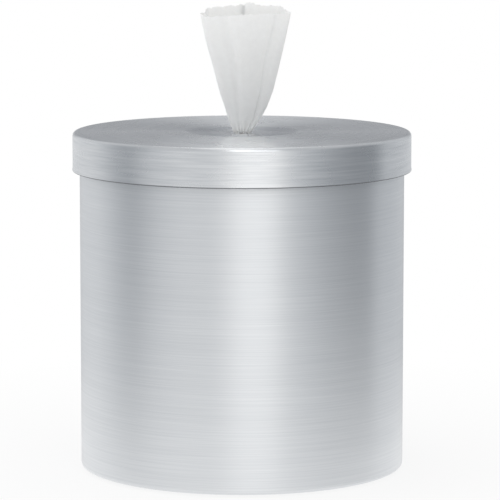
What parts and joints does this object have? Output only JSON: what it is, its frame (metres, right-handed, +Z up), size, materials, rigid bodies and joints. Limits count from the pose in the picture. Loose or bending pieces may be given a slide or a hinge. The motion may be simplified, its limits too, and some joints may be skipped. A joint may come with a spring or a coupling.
{
  "type": "wet wipes dispenser",
  "caption": "Round brushed steel countertop canister with a lift-off cap, a plastic liner, a centre-pull roll and a star nozzle that a gathered wipe stands up from.",
  "frame": {"origin": "on the surface the dispenser stands on, at the middle of its footprint", "axes": "+Z up along the drum's axis; +X to the right and -Y towards the viewer, as in the picture"},
  "size_m": [0.254, 0.254, 0.346],
  "materials": {
    "brushed_steel": "brushed round the axis, satin",
    "liner_plastic": "moulded, satin",
    "lid_plastic": "moulded, satin",
    "nonwoven_wipe": "damp nonwoven cloth",
    "foot_rubber": "matt moulded",
    "seal_silicone": "matt silicone",
    "zinc_hardware": "zinc plated"
  },
  "bodies": {
    "drum": {"drum_shell": "brushed_steel", "base_pan": "brushed_steel", "liner_bucket": "liner_plastic", "wipe_roll": "nonwoven_wipe", "foot_1": "foot_rubber", "foot_2": "foot_rubber", "foot_3": "foot_rubber", "foot_4": "foot_rubber"},
    "lid": {"lid_cap": "brushed_steel", "inner_lid": "lid_plastic", "lid_seal": "seal_silicone", "star_membrane": "seal_silicone", "nozzle_retainer": "lid_plastic", "nozzle_screw_1": "zinc_hardware", "nozzle_screw_2": "zinc_hardware", "nozzle_screw_3": "zinc_hardware", "weld_stud_1": "zinc_hardware", "weld_stud_2": "zinc_hardware", "weld_stud_3": "zinc_hardware", "push_nut_1": "zinc_hardware", "push_nut_2": "zinc_hardware", "push_nut_3": "zinc_hardware", "wipe_web": "nonwoven_wipe"}
  },
  "joints": [
    {"name": "lid_lift", "type": "slide", "parent": "drum", "child": "lid", "axis": [0, 0, 1], "range_m": [0, 0.12]}
  ]
}
